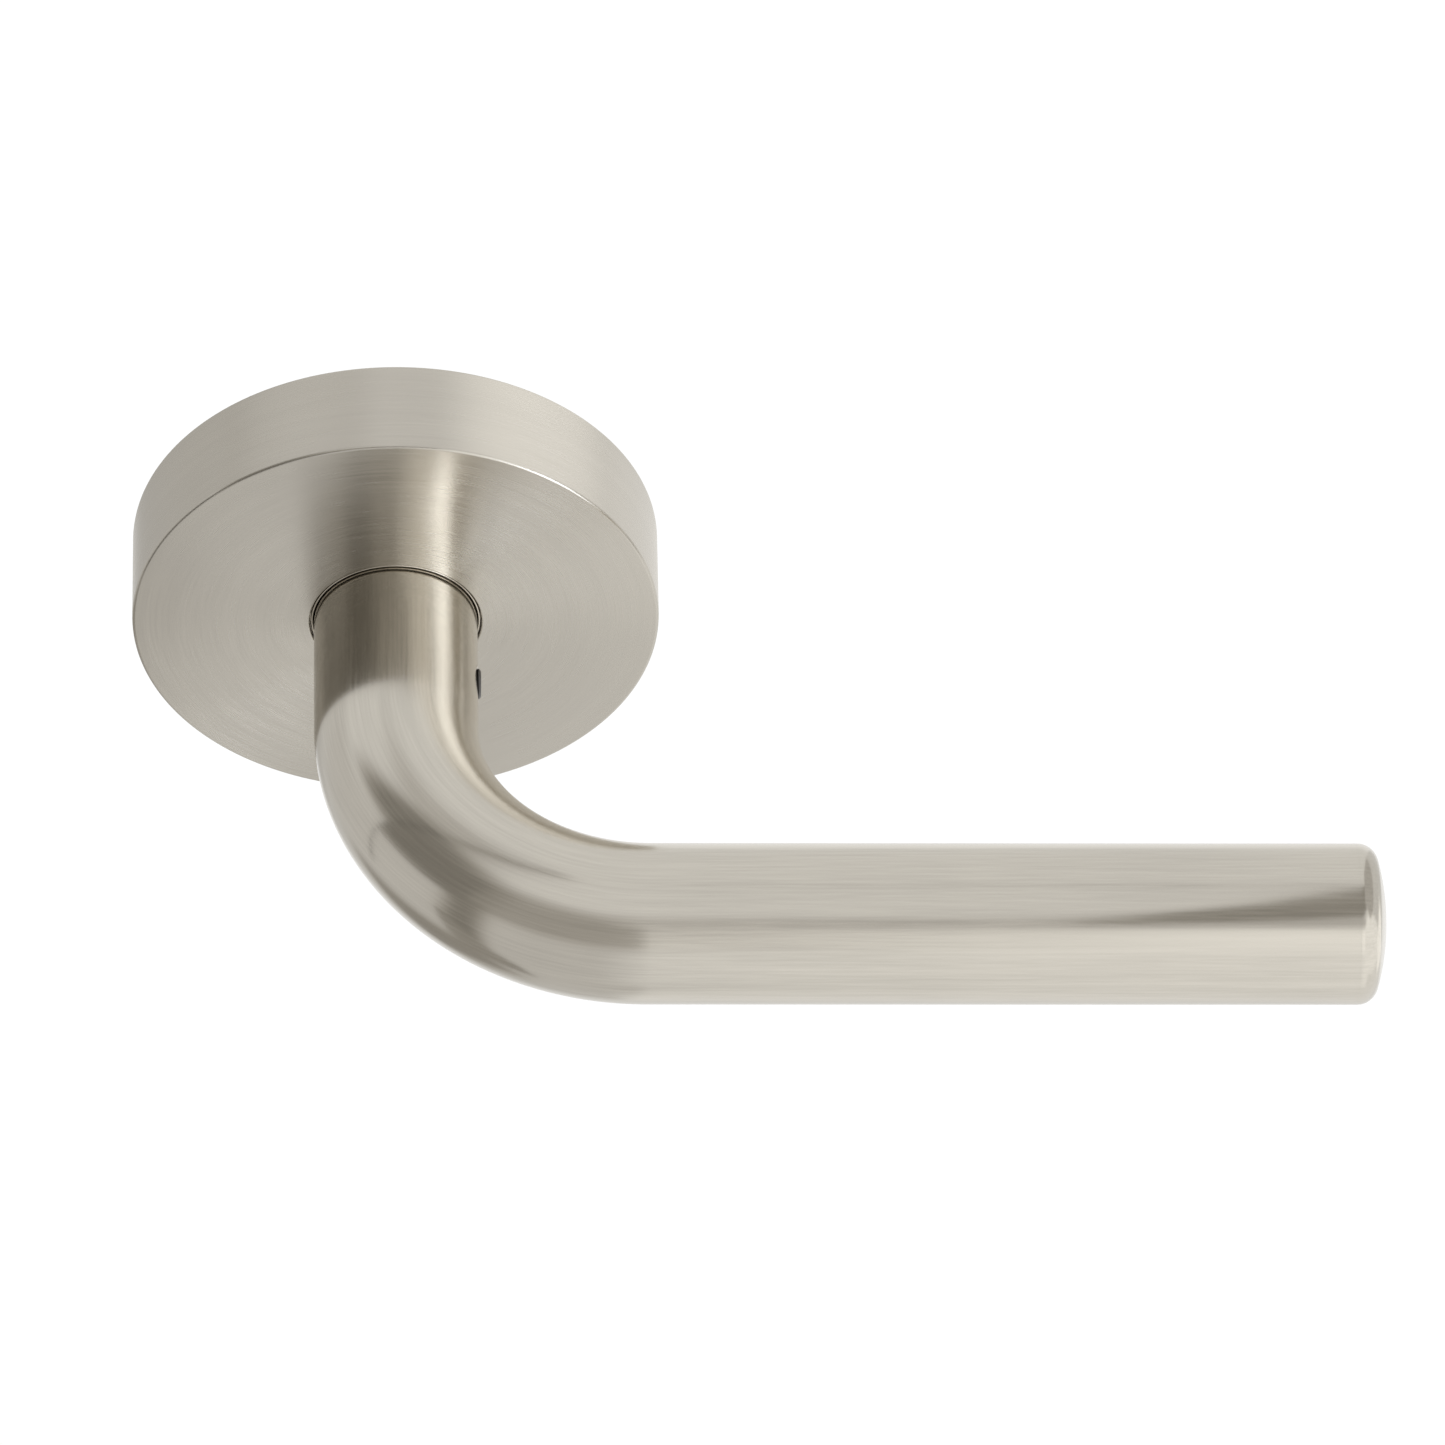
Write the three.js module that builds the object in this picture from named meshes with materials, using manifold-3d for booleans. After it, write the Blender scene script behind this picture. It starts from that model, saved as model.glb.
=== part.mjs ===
// A door lever handle on a round rose, with its spring cassette, spindle and bolt posts.
// Millimetres. The origin is on the spindle's axis at the door's surface, +Y points into
// the door, +X along the lever to its tip, and +Z up. A depth d is a distance out from the
// door, so it lies at y = -d. A clock angle is in degrees clockwise from the top, as the
// person who opens the door sees it.
import * as THREE from "three";
import { mergeVertices } from "three/addons/utils/BufferGeometryUtils.js";
import Module from "manifold-3d";

// Driving dimensions
const ROSE_R = 32.5;
const ROSE_DEPTH = 13.4;
const COVER_WALL = 1.2;
const COVER_HOLE_R = 10.65;
const NECK_R = 10.1;
const GRIP_R = 9.8;
const TUBE_WALL = 1.5;
const PROJECTION = 61.5; // from the door to the grip's centreline
const BEND_R = 30.5;
const TIP_X = 120;
const TIP_CORNER_R = 2.5;
const TIP_DOME_R = 30;
const SPINDLE_SIZE = 8;
const SQUARE_SOCKET = 8.4;
const SPINDLE_REACH = 25; // how far the spindle goes into the door
const POST_CENTRES = 38;
const POST_R = 4;
const POST_REACH = 10.2;
const GAP = 0.3; // between pieces that would touch

// Where the layers of the rose lie, as depths
const PLATE_TOP = 2;
const HOUSING_BACK = PLATE_TOP + GAP;
const HOUSING_FLOOR = 3.4;
const HOUSING_TOP = 9.4;
const FLANGE_BACK = 3.7;
const FLANGE_FRONT = 5;
const BARREL_TOP = 9;
const LID_BACK = 9.6;
const LID_FRONT = 10.3;
const NECK_BASE = 10.5;

// The cassette
const HOUSING_R = 25;
const HOUSING_INNER_R = 22.5;
const SCREW_CIRCLE_R = 25.9;
const SCREW_ANGLES = [45, 135, 225, 315];
const SCREW_BOSS_R = 2.6;
const SCREW_R = 1.4;
const SCREW_HOLE_R = 1.7;
const HUB_FLANGE_R = 17.5;
const JOURNAL_R = 7;
const JOURNAL_END = -2.8;
const CIRCLIP_GROOVE = [-0.95, -1.95];
const STOP_EAR_R = 21.9;
const STOP_EAR_HALF_ANGLE = 9;
const STOP_ANGLE = 55.5; // from the bottom to the nearer face of a stop block: 45 + 9 + 1.5 spare
const WIRE_R = 0.8;
const COIL_R = 12.2;
const COIL_PITCH = 1.7;
const COIL_TURNS = 1.5;
const COIL_START = 5.95;
const HUB_LEG_END_R = 17.2;
const HOUSING_LEG_END_R = 24;

// The lever's clamping screw
const SET_SCREW_DEPTH = 23.4;
const SET_SCREW_R = 2;
const SET_SCREW_HOLE_R = 2.25;
const SET_SCREW_PROUD = 0.35; // how far it stands out of the neck

// How finely round things are divided
const FINE = 48;
const ROUND = 32;
const SMALL = 16;

const BEND_START = PROJECTION - BEND_R;
// The tip's corner is an arc that runs into the tube's skin at the shoulder and into the dome.
const TIP_DOME_X = TIP_X - TIP_DOME_R;
const TIP_CORNER_CENTRE_R = GRIP_R - TIP_CORNER_R;
const TIP_DOME_ANGLE = Math.asin(TIP_CORNER_CENTRE_R / (TIP_DOME_R - TIP_CORNER_R));
const TIP_SHOULDER = TIP_DOME_X + (TIP_DOME_R - TIP_CORNER_R) * Math.cos(TIP_DOME_ANGLE);
const TUBE_END = TIP_SHOULDER - 0.2;
const RIGHT_ANGLE = Math.PI / 2;

const wasm = await Module();
wasm.setup();

// ---- Solids and meshes -------------------------------------------------------------

function solid(geometry) {
  const bare = geometry.index ? geometry.toNonIndexed() : geometry.clone();
  bare.deleteAttribute("normal");
  bare.deleteAttribute("uv");
  const merged = mergeVertices(bare, 1e-4);
  const triVerts = new Uint32Array(merged.index.array);
  const vertProperties = merged.attributes.position.array;
  return new wasm.Manifold(new wasm.Mesh({ numProp: 3, vertProperties, triVerts }));
}

function geometryOf(made) {
  const mesh = made.getMesh();
  const geometry = new THREE.BufferGeometry();
  geometry.setAttribute("position", new THREE.BufferAttribute(mesh.vertProperties, 3));
  geometry.setIndex(new THREE.BufferAttribute(mesh.triVerts, 1));
  geometry.computeVertexNormals();
  return geometry;
}

// A solid of revolution about the spindle's axis, from [radius, depth] points that run
// anticlockwise with the radius to the right and the depth up.
function turned(profile, divisions = ROUND) {
  const points = profile.map(([r, d]) => new THREE.Vector2(r, -d)).reverse();
  return solid(new THREE.LatheGeometry(points, divisions));
}

function disc(radius, from, to, divisions = ROUND) {
  const corners = [[0, from], [radius, from], [radius, to], [0, to]];
  return turned(corners, divisions);
}

function ring(inner, outer, from, to, divisions = ROUND) {
  const corners = [[inner, from], [outer, from], [outer, to], [inner, to], [inner, from]];
  return turned(corners, divisions);
}

function block(width, height, from, to) {
  const geometry = new THREE.BoxGeometry(width, to - from, height);
  geometry.translate(0, -(from + to) / 2, 0);
  return geometry;
}

// A cylinder that stands on the face of the rose, centred at a radius and a clock angle.
function peg(radius, from, to, circleR, clock, divisions = SMALL) {
  const geometry = new THREE.CylinderGeometry(radius, radius, to - from, divisions);
  geometry.translate(0, -(from + to) / 2, circleR);
  geometry.rotateY(THREE.MathUtils.degToRad(clock));
  return solid(geometry);
}

// A piece of a ring between two clock angles.
function sector(inner, outer, fromClock, toClock, from, to) {
  const start = RIGHT_ANGLE - THREE.MathUtils.degToRad(toClock);
  const end = RIGHT_ANGLE - THREE.MathUtils.degToRad(fromClock);
  const shape = new THREE.Shape();
  shape.absarc(0, 0, outer, start, end, false);
  shape.absarc(0, 0, inner, end, start, true);
  const geometry = new THREE.ExtrudeGeometry(shape, {
    depth: to - from,
    bevelEnabled: false,
    curveSegments: 3,
  });
  geometry.rotateX(RIGHT_ANGLE);
  geometry.translate(0, -from, 0);
  return solid(geometry);
}

function finish(color, roughness, metalness) {
  return new THREE.MeshStandardMaterial({ color, roughness, metalness });
}

const satinNickel = () => finish(0xbdb5aa, 0.38, 1);
const zincPlate = () => finish(0xa9abac, 0.45, 1);
const castZinc = () => finish(0x8d8f90, 0.6, 1);
const springSteel = () => finish(0x77797c, 0.4, 1);
const polishedSteel = () => finish(0xc9cacb, 0.2, 1);
const nylon = () => finish(0x2b2c2e, 0.55, 0);
const blackSteel = () => finish(0x2f3032, 0.45, 1);

function piece(parent, name, made, material) {
  const mesh = new THREE.Mesh(geometryOf(made), material);
  mesh.name = name;
  parent.add(mesh);
  return mesh;
}

// ---- The rose, which is fixed to the door -----------------------------------------

function roseCover() {
  const edge = 0.35;
  const hole = 0.15;
  const innerR = ROSE_R - COVER_WALL;
  const innerDepth = ROSE_DEPTH - COVER_WALL;
  return turned(
    [
      [innerR, 0],
      [ROSE_R, 0],
      [ROSE_R, ROSE_DEPTH - edge],
      [ROSE_R - edge * 0.3, ROSE_DEPTH - edge * 0.3],
      [ROSE_R - edge, ROSE_DEPTH],
      [COVER_HOLE_R + hole, ROSE_DEPTH],
      [COVER_HOLE_R, ROSE_DEPTH - hole],
      [COVER_HOLE_R, innerDepth],
      [innerR, innerDepth],
      [innerR, 0],
    ],
    FINE,
  );
}

// The nylon ring that the cover is pressed over.
function coverSnapRing() {
  const outer = ROSE_R - COVER_WALL - GAP;
  const inner = outer - 1.3;
  const bead = 0.2;
  return turned([
    [inner, HOUSING_BACK],
    [outer - bead, HOUSING_BACK],
    [outer - bead, HOUSING_BACK + 1.6],
    [outer, HOUSING_BACK + 2.2],
    [outer, HOUSING_BACK + 3],
    [outer - bead, HOUSING_BACK + 5],
    [inner, HOUSING_BACK + 5],
    [inner, HOUSING_BACK],
  ]);
}

function mountingPlate() {
  const rim = ROSE_R - COVER_WALL - GAP;
  const woodScrewCircleR = 27.3;
  let plate = ring(8.7, rim, 0, PLATE_TOP);
  for (const clock of SCREW_ANGLES) {
    plate = plate.subtract(peg(SCREW_HOLE_R, -1, 4, SCREW_CIRCLE_R, clock, 12));
  }
  for (const clock of [0, 180]) {
    plate = plate.subtract(peg(2.1, -1, 4, woodScrewCircleR, clock, 16));
  }
  for (const clock of [90, 270]) {
    plate = plate.subtract(peg(2.9, -1, 4, POST_CENTRES / 2, clock));
  }
  return plate;
}

// A post has a spigot riveted into the plate and a threaded hole that takes a through bolt.
function boltPost() {
  const spigotR = 2.6;
  const boltR = 2.1;
  const chamfer = 0.5;
  return turned(
    [
      [0, -1.5],
      [boltR, -1.5],
      [boltR, -POST_REACH],
      [POST_R - chamfer, -POST_REACH],
      [POST_R, -POST_REACH + chamfer],
      [POST_R, -GAP],
      [spigotR, -GAP],
      [spigotR, PLATE_TOP - 0.1],
      [0, PLATE_TOP - 0.1],
    ],
    SMALL,
  );
}

// A flanged bush between the plate's centre hole and the hub's journal.
function rearBush() {
  const inner = JOURNAL_R + 0.25;
  return turned([
    [inner, GAP],
    [8.4, GAP],
    [8.4, HOUSING_BACK],
    [10.2, HOUSING_BACK],
    [10.2, HOUSING_FLOOR],
    [inner, HOUSING_FLOOR],
    [inner, GAP],
  ]);
}

function cassetteHousing() {
  const legNotch = WIRE_R + 0.25;
  let housing = turned([
    [10.5, HOUSING_BACK],
    [HOUSING_R, HOUSING_BACK],
    [HOUSING_R, HOUSING_TOP],
    [HOUSING_INNER_R, HOUSING_TOP],
    [HOUSING_INNER_R, HOUSING_FLOOR],
    [10.5, HOUSING_FLOOR],
    [10.5, HOUSING_BACK],
  ]);
  for (const clock of SCREW_ANGLES) {
    const boss = peg(SCREW_BOSS_R, HOUSING_BACK, HOUSING_TOP, SCREW_CIRCLE_R, clock, 16);
    housing = housing.add(boss);
  }
  for (const clock of SCREW_ANGLES) {
    housing = housing.subtract(peg(SCREW_HOLE_R, 0, 12, SCREW_CIRCLE_R, clock, 12));
  }
  for (const side of [-1, 1]) {
    const angles = [180 + side * STOP_ANGLE, 180 + side * (STOP_ANGLE + 11)];
    const [low, high] = angles.sort((a, b) => a - b);
    housing = housing.add(sector(18.4, 23, low, high, HOUSING_FLOOR - 0.5, 7));
  }
  const coilEnd = COIL_START + COIL_PITCH * COIL_TURNS;
  const notch = block(2 * legNotch, 4, coilEnd - legNotch, 12);
  notch.translate(0, 0, -(HOUSING_INNER_R + 0.9));
  return housing.subtract(solid(notch));
}

function cassetteLid() {
  let lid = ring(10.8, HOUSING_R, LID_BACK, LID_FRONT);
  for (const clock of SCREW_ANGLES) {
    lid = lid.add(peg(SCREW_BOSS_R, LID_BACK, LID_FRONT, SCREW_CIRCLE_R, clock, 16));
  }
  for (const clock of SCREW_ANGLES) {
    lid = lid.subtract(peg(SCREW_HOLE_R, 0, 12, SCREW_CIRCLE_R, clock, 12));
  }
  return lid;
}

// A pan-head screw with a cross recess, along the spindle's direction, its head outwards.
function cassetteScrew() {
  const headBack = LID_FRONT + 0.15;
  const headFront = headBack + 1.45;
  let screw = turned(
    [
      [0, 0.5],
      [SCREW_R, 0.5],
      [SCREW_R, headBack],
      [2.7, headBack],
      [2.7, headBack + 0.9],
      [2, headFront],
      [0, headFront],
    ],
    16,
  );
  for (const quarter of [0, 1]) {
    const slot = block(0.6, 2.8, headFront - 0.9, headFront + 1);
    slot.rotateY(quarter * RIGHT_ANGLE);
    screw = screw.subtract(solid(slot));
  }
  return screw;
}

// The bush that the neck turns in. Its rim shows in the cover's hole.
function neckBush() {
  const inner = NECK_R + 0.12;
  const rim = 10.45;
  const flangeFront = ROSE_DEPTH - COVER_WALL - GAP;
  return turned([
    [inner, LID_FRONT + GAP],
    [12.6, LID_FRONT + GAP],
    [12.6, flangeFront],
    [rim, flangeFront],
    [rim, ROSE_DEPTH - 0.2],
    [inner, ROSE_DEPTH - 0.2],
    [inner, LID_FRONT + GAP],
  ]);
}

// ---- The lever and all that turns with it ------------------------------------------

class LeverCentreline extends THREE.Curve {
  getPoint(t, target = new THREE.Vector3()) {
    const neck = BEND_START - NECK_BASE;
    const bend = BEND_R * RIGHT_ANGLE;
    const along = t * (neck + bend + TUBE_END - BEND_R);
    if (along < neck) return target.set(0, -NECK_BASE - along, 0);
    const turn = (along - neck) / BEND_R;
    if (turn > RIGHT_ANGLE) return target.set(BEND_R + along - neck - bend, -PROJECTION, 0);
    const x = BEND_R * (1 - Math.cos(turn));
    return target.set(x, -BEND_START - BEND_R * Math.sin(turn), 0);
  }
}

// The nearest point on the centreline, and the share of the bend that is behind it.
function nearestOnCentreline(x, y) {
  if (y > -BEND_START) return { x: 0, y, share: 0 };
  if (x > BEND_R) return { x, y: -PROJECTION, share: 1 };
  const turn = Math.atan2(-BEND_START - y, BEND_R - x);
  return {
    x: BEND_R * (1 - Math.cos(turn)),
    y: -BEND_START - BEND_R * Math.sin(turn),
    share: turn / RIGHT_ANGLE,
  };
}

// The tube is bent and slims a little from the neck to the grip.
function leverTube() {
  const section = new THREE.Shape();
  section.absarc(0, 0, NECK_R, 0, 2 * Math.PI, false);
  const bore = new THREE.Path();
  bore.absarc(0, 0, NECK_R - TUBE_WALL, 0, 2 * Math.PI, true);
  section.holes.push(bore);
  const geometry = new THREE.ExtrudeGeometry(section, {
    extrudePath: new LeverCentreline(),
    steps: 26,
    curveSegments: 14,
  });
  const points = geometry.attributes.position;
  for (let i = 0; i < points.count; i++) {
    const near = nearestOnCentreline(points.getX(i), points.getY(i));
    const slimmer = THREE.MathUtils.lerp(1, GRIP_R / NECK_R, near.share);
    points.setX(i, near.x + (points.getX(i) - near.x) * slimmer);
    points.setY(i, near.y + (points.getY(i) - near.y) * slimmer);
    points.setZ(i, points.getZ(i) * slimmer);
  }
  return solid(geometry).subtract(crossHole(SET_SCREW_HOLE_R, 6, 12));
}

// A round hole along +X at the set screw's depth.
function crossHole(radius, from, to) {
  const geometry = new THREE.CylinderGeometry(radius, radius, to - from, 16);
  geometry.rotateZ(RIGHT_ANGLE);
  geometry.translate((from + to) / 2, -SET_SCREW_DEPTH, 0);
  return solid(geometry);
}

// The plug that closes the grip: a rounded end and a spigot inside the tube. It is turned
// about the depth axis, and the mesh is laid along the grip.
function tipCap() {
  const joint = TUBE_END + 0.1;
  const spigotR = GRIP_R * (1 - TUBE_WALL / NECK_R) - GAP;
  const profile = [
    [0, joint - 7],
    [spigotR - 0.5, joint - 7],
    [spigotR, joint - 6.5],
    [spigotR, joint],
    [GRIP_R, joint],
  ];
  const steps = 5;
  for (let i = 0; i <= steps; i++) {
    const angle = (i / steps) * (RIGHT_ANGLE - TIP_DOME_ANGLE);
    const r = TIP_CORNER_CENTRE_R + TIP_CORNER_R * Math.cos(angle);
    profile.push([r, TIP_SHOULDER + TIP_CORNER_R * Math.sin(angle)]);
  }
  for (const share of [0.75, 0.5, 0.25]) {
    const angle = TIP_DOME_ANGLE * share;
    profile.push([TIP_DOME_R * Math.sin(angle), TIP_DOME_X + TIP_DOME_R * Math.cos(angle)]);
  }
  profile.push([0, TIP_X]);
  return turned(profile, 28);
}

// The steel insert in the neck, with the square socket that the spindle enters.
function neckCore() {
  const r = NECK_R - TUBE_WALL - 0.2;
  const core = disc(r, NECK_BASE + 0.1, BEND_START - 0.8, 28);
  const socket = solid(block(SQUARE_SOCKET, SQUARE_SOCKET, 0, BEND_START - 2.4));
  return core.subtract(socket).subtract(crossHole(SET_SCREW_HOLE_R, 0, 12));
}

// A grub screw with a hexagon socket. It is turned about the depth axis, and the mesh is
// laid along +X.
function setScrew() {
  const start = SPINDLE_SIZE / 2 + GAP;
  const end = NECK_R + SET_SCREW_PROUD;
  const socket = new THREE.CylinderGeometry(1.2, 1.2, 4, 6);
  socket.translate(0, -end, 0);
  const body = turned(
    [
      [0, start],
      [SET_SCREW_R - 0.6, start],
      [SET_SCREW_R, start + 0.6],
      [SET_SCREW_R, end - 0.4],
      [SET_SCREW_R - 0.4, end],
      [0, end],
    ],
    16,
  );
  return body.subtract(solid(socket));
}

function spindle() {
  return solid(block(SPINDLE_SIZE, SPINDLE_SIZE, -SPINDLE_REACH, BEND_START - 2.9));
}

function driveHub() {
  const barrelR = 10.4;
  const grooveR = 6.3;
  const [grooveFront, grooveBack] = CIRCLIP_GROOVE;
  let hub = turned([
    [0, JOURNAL_END],
    [JOURNAL_R - 0.3, JOURNAL_END],
    [JOURNAL_R, JOURNAL_END + 0.3],
    [JOURNAL_R, grooveBack],
    [grooveR, grooveBack],
    [grooveR, grooveFront],
    [JOURNAL_R, grooveFront],
    [JOURNAL_R, FLANGE_BACK],
    [HUB_FLANGE_R, FLANGE_BACK],
    [HUB_FLANGE_R, FLANGE_FRONT],
    [barrelR, FLANGE_FRONT],
    [barrelR, BARREL_TOP],
    [0, BARREL_TOP],
  ]);
  const earAngles = [180 - STOP_EAR_HALF_ANGLE, 180 + STOP_EAR_HALF_ANGLE];
  hub = hub.add(sector(16, STOP_EAR_R, ...earAngles, FLANGE_BACK, FLANGE_FRONT));
  for (const side of [-1, 1]) {
    const prong = block(1.9, 2.2, FLANGE_FRONT - 0.5, COIL_START + WIRE_R + 0.3);
    prong.translate(side * (WIRE_R + 0.25 + 0.95), 0, 16.2);
    hub = hub.add(solid(prong));
  }
  const bore = block(SQUARE_SOCKET, SQUARE_SOCKET, JOURNAL_END - 1, BARREL_TOP + 1);
  return hub.subtract(solid(bore));
}

// An external circlip: a ring with a gap at the bottom and an eye on each side of it.
function hubCirclip() {
  const [grooveFront, grooveBack] = CIRCLIP_GROOVE;
  const front = grooveFront - 0.15;
  const back = grooveBack + 0.1;
  let clip = ring(6.6, 8.4, back, front);
  for (const clock of [165, 195]) {
    clip = clip.add(peg(1.5, back, front, 8.9, clock, 12));
  }
  for (const clock of [165, 195]) {
    clip = clip.subtract(peg(0.7, back - 1, front + 1, 9.1, clock, 10));
  }
  const gap = block(1.6, 6, back - 1, front + 1);
  gap.translate(0, 0, -8.5);
  return clip.subtract(solid(gap));
}

// The spring is a helix with a straight leg at each end: the first leg hooks into the hub
// at the top, the second into the housing at the bottom.
class SpringWire extends THREE.Curve {
  getPoint(t, target = new THREE.Vector3()) {
    const sweep = COIL_TURNS * 2 * Math.PI;
    const corner = 2.2; // the arc that turns a leg into the coil, as a length
    const hubLeg = HUB_LEG_END_R - COIL_R - corner;
    const housingLeg = HOUSING_LEG_END_R - COIL_R - corner;
    const length = hubLeg + COIL_R * sweep + housingLeg;
    const along = t * length;
    const coilAlong = THREE.MathUtils.clamp(along - hubLeg, 0, COIL_R * sweep);
    const angle = coilAlong / COIL_R;
    const near = Math.min(coilAlong, COIL_R * sweep - coilAlong);
    const blend = THREE.MathUtils.clamp(1 - near / (3 * corner), 0, 1);
    let r = COIL_R + corner * blend * blend;
    r += Math.max(hubLeg - along, 0);
    r += Math.max(along - hubLeg - COIL_R * sweep, 0);
    const depth = COIL_START + (COIL_PITCH * angle) / (2 * Math.PI);
    return target.set(r * Math.sin(angle), -depth, r * Math.cos(angle));
  }
}

function returnSpring() {
  const wire = new THREE.Shape();
  wire.absarc(0, 0, WIRE_R, 0, 2 * Math.PI, false);
  const geometry = new THREE.ExtrudeGeometry(wire, {
    extrudePath: new SpringWire(),
    steps: 60,
    curveSegments: 4,
  });
  return solid(geometry);
}

// ---- Assembly ----------------------------------------------------------------------

const group = new THREE.Group();
const rose = new THREE.Group();
const lever = new THREE.Group();
group.add(rose, lever);

piece(rose, "rose_cover", roseCover(), satinNickel());
piece(rose, "cover_snap_ring", coverSnapRing(), nylon());
piece(rose, "mounting_plate", mountingPlate(), zincPlate());
piece(rose, "rear_bush", rearBush(), nylon());
piece(rose, "cassette_housing", cassetteHousing(), castZinc());
piece(rose, "cassette_lid", cassetteLid(), zincPlate());
piece(rose, "neck_bush", neckBush(), polishedSteel());
piece(rose, "return_spring", returnSpring(), springSteel());
SCREW_ANGLES.forEach((clock, i) => {
  const screw = piece(rose, "cassette_screw_" + (i + 1), cassetteScrew(), zincPlate());
  const angle = THREE.MathUtils.degToRad(clock);
  screw.position.set(SCREW_CIRCLE_R * Math.sin(angle), 0, SCREW_CIRCLE_R * Math.cos(angle));
});
for (const [name, side] of [["bolt_post_left", -1], ["bolt_post_right", 1]]) {
  piece(rose, name, boltPost(), zincPlate()).position.x = (side * POST_CENTRES) / 2;
}

piece(lever, "lever_tube", leverTube(), satinNickel());
piece(lever, "neck_core", neckCore(), zincPlate());
piece(lever, "drive_hub", driveHub(), castZinc());
piece(lever, "spindle", spindle(), zincPlate());
piece(lever, "hub_circlip", hubCirclip(), springSteel());
piece(lever, "back_washer", ring(7.25, 10.2, -0.75, -GAP), zincPlate());
piece(lever, "thrust_washer", ring(6.3, 10.2, BARREL_TOP + GAP, NECK_BASE - GAP), nylon());

const tip = piece(lever, "tip_cap", tipCap(), satinNickel());
tip.rotation.z = RIGHT_ANGLE;
tip.position.y = -PROJECTION;

const grub = piece(lever, "set_screw", setScrew(), blackSteel());
grub.rotation.z = RIGHT_ANGLE;
grub.position.y = -SET_SCREW_DEPTH;

export default group;
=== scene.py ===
"""A door lever handle in satin nickel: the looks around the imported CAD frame.

Lengths are worked out in millimetres and written to the meshes in metres. A depth is a
distance out from the door, so it lies at y = -depth. Clock angles are in degrees clockwise
from the top, as seen from in front of the door.
"""

import math

import bmesh
import bpy
from mathutils import Matrix, Vector


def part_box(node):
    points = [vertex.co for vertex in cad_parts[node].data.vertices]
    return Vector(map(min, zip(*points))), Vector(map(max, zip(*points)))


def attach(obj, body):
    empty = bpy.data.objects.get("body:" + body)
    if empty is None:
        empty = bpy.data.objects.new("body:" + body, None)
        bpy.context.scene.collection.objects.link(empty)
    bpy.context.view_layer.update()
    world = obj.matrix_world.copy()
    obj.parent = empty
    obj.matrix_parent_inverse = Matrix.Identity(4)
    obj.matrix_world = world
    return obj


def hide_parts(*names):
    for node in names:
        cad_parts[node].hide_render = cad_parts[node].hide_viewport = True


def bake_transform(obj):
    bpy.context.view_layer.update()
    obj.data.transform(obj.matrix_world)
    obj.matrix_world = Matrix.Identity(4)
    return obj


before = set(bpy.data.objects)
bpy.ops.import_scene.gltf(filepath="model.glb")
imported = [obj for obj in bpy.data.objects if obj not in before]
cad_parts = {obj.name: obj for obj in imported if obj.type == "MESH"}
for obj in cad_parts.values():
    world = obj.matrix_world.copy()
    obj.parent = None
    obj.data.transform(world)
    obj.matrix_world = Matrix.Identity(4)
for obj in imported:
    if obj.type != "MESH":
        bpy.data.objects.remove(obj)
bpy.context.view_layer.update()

MM = 0.001
TAU = 2 * math.pi


def low(node):
    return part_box(node)[0] / MM


def high(node):
    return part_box(node)[1] / MM


def depths(node):
    """The depths of a node's back and of its front."""
    return -high(node).y, -low(node).y


# ---- Sizes ----
# Outer sizes come from the frame. The ones that no node's box shows are set here.

ROSE_R = high("rose_cover").x
ROSE_DEPTH = -low("rose_cover").y
COVER_WALL = 1.2
COVER_HOLE_R = 10.65
NECK_R = -low("lever_tube").x
NECK_BASE = -high("lever_tube").y
TUBE_END = high("lever_tube").x
TUBE_WALL = 1.5
GRIP_R = high("tip_cap").z
PROJECTION = -(low("tip_cap").y + high("tip_cap").y) / 2
BEND_R = 30.5
BEND_START = PROJECTION - BEND_R
NECK_LENGTH = BEND_START - NECK_BASE
BEND_LENGTH = BEND_R * math.pi / 2
TIP_X = high("tip_cap").x
CAP_START = low("tip_cap").x
TIP_CORNER_R = 2.5
TIP_DOME_R = 30.0
SET_SCREW_DEPTH = -(low("set_screw").y + high("set_screw").y) / 2
SET_SCREW_R = high("set_screw").z
SET_SCREW_HOLE_R = 2.25
HOLE_BREAK = 0.04
PLATE_R = high("mounting_plate").x
PLATE_TOP = -low("mounting_plate").y
POST_X = (low("bolt_post_right").x + high("bolt_post_right").x) / 2
POST_R = (high("bolt_post_right").x - low("bolt_post_right").x) / 2
POST_REACH = high("bolt_post_right").y
SPINDLE_HALF = high("spindle").x
SOCKET_HALF = 4.2
JOURNAL_R = 7.0
JOURNAL_BORE_R = 7.25
SCREW_ANGLES = (45, 135, 225, 315)
SCREW_CIRCLE_R = (high("cassette_screw_1").x + low("cassette_screw_1").x) / 2 * math.sqrt(2)
SCREW_CLEARANCE_R = 1.7
SPRING_WIRE_R = 0.8
SPRING_R = 12.2
SPRING_TURNS = 1.5
SPRING_SWEEP = SPRING_TURNS * TAU
SPRING_START = 5.95
SPRING_RISE = 1.7 * SPRING_TURNS
SPRING_CORNER_R = 1.9
SPRING_LEAN = math.asin(SPRING_CORNER_R / (SPRING_R + SPRING_CORNER_R))


# ---- Profiles and outlines ----


def fillet(corner, before, after, radius, steps):
    """Points of an arc that rounds the corner between two straight edges."""
    corner, before, after = Vector(corner), Vector(before), Vector(after)
    a, b = (before - corner).normalized(), (after - corner).normalized()
    half = a.angle(b) / 2
    reach = radius / math.tan(half)
    centre = corner + (a + b).normalized() * (radius / math.sin(half))
    start, end = corner + a * reach - centre, corner + b * reach - centre
    turn = start.angle_signed(end)
    points = []
    for i in range(steps + 1):
        angle = turn * i / steps
        c, s = math.cos(-angle), math.sin(-angle)
        points.append(centre + Vector((start.x * c - start.y * s, start.x * s + start.y * c)))
    return points


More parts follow.
